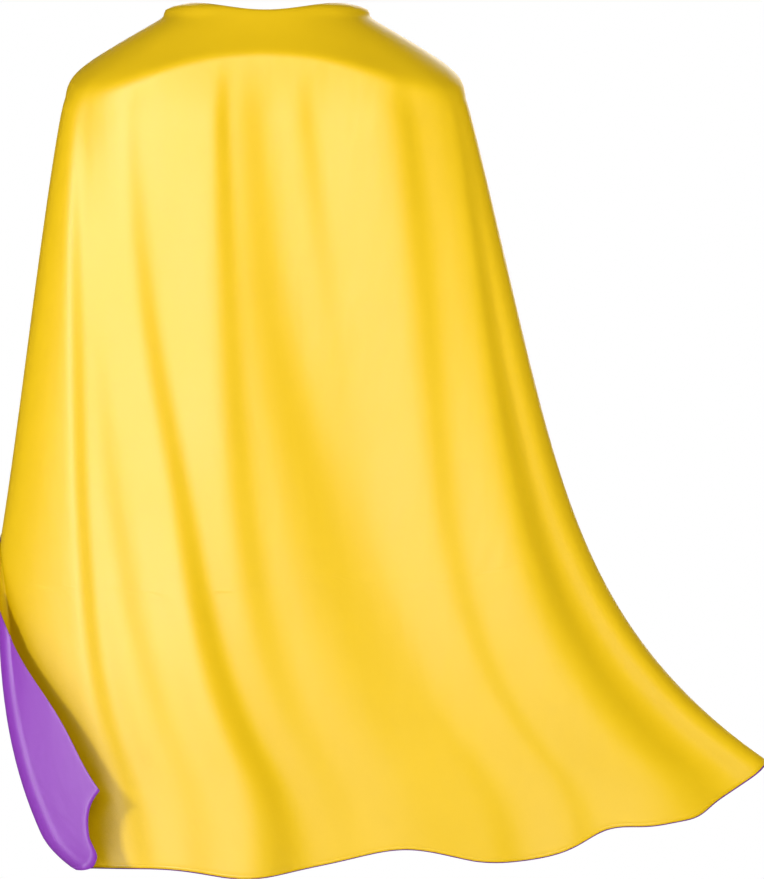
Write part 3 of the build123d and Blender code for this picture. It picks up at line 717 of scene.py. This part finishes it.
def fibre_material(name, colour, darker, scale, stretch, depth, roughness):
    """Fibrous cloth: noise drawn out one way, in the colour and in the bump."""
    material, nodes, links = new_material(name)
    out = nodes.new("ShaderNodeOutputMaterial")
    body = nodes.new("ShaderNodeBsdfPrincipled")
    place = nodes.new("ShaderNodeTexCoord")
    squeeze = nodes.new("ShaderNodeMapping")
    squeeze.inputs["Scale"].default_value = stretch
    fibres = nodes.new("ShaderNodeTexNoise")
    fibres.inputs["Scale"].default_value = scale
    fibres.inputs["Detail"].default_value = 6.0
    tint = nodes.new("ShaderNodeMix")
    tint.data_type = "RGBA"
    tint.inputs["A"].default_value = (*darker, 1.0)
    tint.inputs["B"].default_value = (*colour, 1.0)
    bump = nodes.new("ShaderNodeBump")
    bump.inputs["Strength"].default_value = 0.6
    bump.inputs["Distance"].default_value = depth
    body.inputs["Roughness"].default_value = roughness
    body.inputs["Sheen Weight"].default_value = 0.25
    links.new(place.outputs["Object"], squeeze.inputs["Vector"])
    links.new(squeeze.outputs["Vector"], fibres.inputs["Vector"])
    links.new(fibres.outputs["Fac"], tint.inputs["Factor"])
    links.new(fibres.outputs["Fac"], bump.inputs["Height"])
    links.new(tint.outputs["Result"], body.inputs["Base Color"])
    links.new(bump.outputs["Normal"], body.inputs["Normal"])
    links.new(body.outputs["BSDF"], out.inputs["Surface"])
    return material


felt = fibre_material(
    "interfacing", (0.80, 0.79, 0.75), (0.62, 0.61, 0.58), 900.0, (1, 1, 1), 0.0001, 0.9
)
hook_nylon = fibre_material(
    "hook_tape", (0.86, 0.47, 0.020), (0.66, 0.33, 0.012), 1500.0, (1, 1, 4), 0.00006, 0.42
)
loop_nylon = fibre_material(
    "loop_tape", (0.84, 0.44, 0.022), (0.62, 0.30, 0.012), 1100.0, (1, 1, 2), 0.0001, 0.75
)
sewing_thread = fibre_material(
    "thread", (0.62, 0.31, 0.010), (0.42, 0.19, 0.006), 2500.0, (1, 1, 6), 0.00004, 0.55
)

tab_plies("hook", 1)
tab_plies("loop", -1)

loops = tubes("loop_patch_pile", *loop_pile(LOOP_TAPE_IN + 0.5, LOOP_HEIGHT), LOOP_RADIUS)
loops = join(loops, band("loop_tape_strip", LOOP_TAPE_IN, STRIP, TAPE_HALF, TAPE_HEIGHT))
hooks = tubes("hook_patch_hooks", *hook_field(HOOK_TAPE_IN + 0.6, HOOK_HEIGHT), HOOK_RADIUS)
hooks = join(hooks, band("hook_tape_strip", HOOK_TAPE_IN + STRIP, STRIP, TAPE_HALF, TAPE_HEIGHT))
hook_outer_face = TAB_MIDDLE + LIFT + 0.9
loop_thread = join(
    tubes("loop_patch_stitches", *stitch_row(LOOP_TAPE_IN + 0.60, 1.0), THREAD_RADIUS),
    tubes("loop_back_stitches", *stitch_row(NECK_RADIUS + 0.02, -1.0), THREAD_RADIUS),
)
hook_thread = join(
    tubes("hook_patch_stitches", *stitch_row(HOOK_TAPE_IN + 0.50, -1.0), THREAD_RADIUS),
    tubes("hook_back_stitches", *stitch_row(hook_outer_face + 0.04, 1.0), THREAD_RADIUS),
)
for piece, node, slot, material, body in (
    (loops, "loop_patch", "loop_tape", loop_nylon, "loop_tab"),
    (hooks, "hook_patch", "hook_tape", hook_nylon, "hook_tab"),
    (loop_thread, "loop_patch_stitching", "thread", sewing_thread, "loop_tab"),
    (hook_thread, "hook_patch_stitching", "thread", sewing_thread, "hook_tab"),
):
    piece.data.materials.clear()
    piece.data.materials.append(material)
    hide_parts(node)
    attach(piece, body)

# ------------------------------------------------------------------ stage and light
VIEW_MIDDLE = Vector((0.0928, 0.0, -0.3510))
VIEW_HEIGHT = 0.6975
VIEW_DISTANCE = 5.0
CLOTH_PLANE = -0.09

camera_data = bpy.data.cameras.new("camera")
camera = bpy.data.objects.new("camera", camera_data)
bpy.context.collection.objects.link(camera)
camera.location = (VIEW_MIDDLE.x, CLOTH_PLANE - VIEW_DISTANCE, VIEW_MIDDLE.z)
camera.rotation_euler = (math.pi / 2, 0.0, 0.0)
camera_data.lens = camera_data.sensor_width * VIEW_DISTANCE / VIEW_HEIGHT
bpy.context.scene.camera = camera


def area_light(name, place, aim, size, power, colour=(1.0, 1.0, 1.0)):
    data = bpy.data.lights.new(name, "AREA")
    data.shape = "RECTANGLE"
    data.size, data.size_y = size
    data.energy = power
    data.color = colour
    lamp = bpy.data.objects.new(name, data)
    bpy.context.collection.objects.link(lamp)
    lamp.location = place
    lamp.rotation_euler = (Vector(aim) - Vector(place)).to_track_quat("-Z", "Y").to_euler()
    return lamp


CENTRE = (0.08, -0.05, -0.35)
# On the back of the cape the sheen comes from this soft light alone, which gives nothing
# else.  The key, fill and front lamps give no sheen; the one inside the cape gives both.
sheen_light = area_light("sheen", (-1.10, -2.95, 0.35), CENTRE, (0.7, 1.0), 66.0)
sheen_light.visible_diffuse = False
LAMPS = (
    ("key", (-2.45, -2.25, 0.55), 0.4, 66.0),
    ("fill", (2.6, -1.9, 1.15), 0.8, 50.0),
    ("front", (0.1, -3.2, 0.50), 1.2, 24.0),
    ("inside", (0.3, 2.8, 0.60), 1.6, 40.0),
)
for name, place, width, power in LAMPS:
    lamp = area_light(name, place, CENTRE, (width, width), power)
    lamp.visible_glossy = name == "inside"

floor_mesh = bpy.data.meshes.new("floor")
floor_mesh.from_pydata([(-9, -6, -1.0), (9, -6, -1.0), (9, 12, -1.0), (-9, 12, -1.0)], [], [(0, 1, 2, 3)])
floor = bpy.data.objects.new("floor", floor_mesh)
bpy.context.collection.objects.link(floor)
material, nodes, links = new_material("floor")
out = nodes.new("ShaderNodeOutputMaterial")
paint = nodes.new("ShaderNodeBsdfDiffuse")
paint.inputs["Color"].default_value = (0.95, 0.95, 0.95, 1.0)
glow = nodes.new("ShaderNodeEmission")
glow.inputs["Strength"].default_value = 1.0
mix = nodes.new("ShaderNodeMixShader")
path = nodes.new("ShaderNodeLightPath")
links.new(path.outputs["Is Camera Ray"], mix.inputs["Fac"])
links.new(paint.outputs[0], mix.inputs[1])
links.new(glow.outputs[0], mix.inputs[2])
links.new(mix.outputs[0], out.inputs["Surface"])
floor_mesh.materials.append(material)
floor.visible_glossy = False

world = bpy.data.worlds.new("world")
bpy.context.scene.world = world
world.use_nodes = True
nodes, links = world.node_tree.nodes, world.node_tree.links
nodes.clear()
out = nodes.new("ShaderNodeOutputWorld")
seen = nodes.new("ShaderNodeBackground")
seen.inputs["Strength"].default_value = 1.0
lit = nodes.new("ShaderNodeBackground")
lit.inputs["Strength"].default_value = 0.07
path = nodes.new("ShaderNodeLightPath")
mix = nodes.new("ShaderNodeMixShader")
links.new(path.outputs["Is Camera Ray"], mix.inputs["Fac"])
links.new(lit.outputs[0], mix.inputs[1])
links.new(seen.outputs[0], mix.inputs[2])
links.new(mix.outputs[0], out.inputs["Surface"])
world.cycles_visibility.glossy = False
seen.inputs["Color"].default_value = (1, 1, 1, 1)
lit.inputs["Color"].default_value = (1, 1, 1, 1)

bpy.context.scene.view_settings.view_transform = "Standard"
bpy.context.scene.view_settings.look = "None"
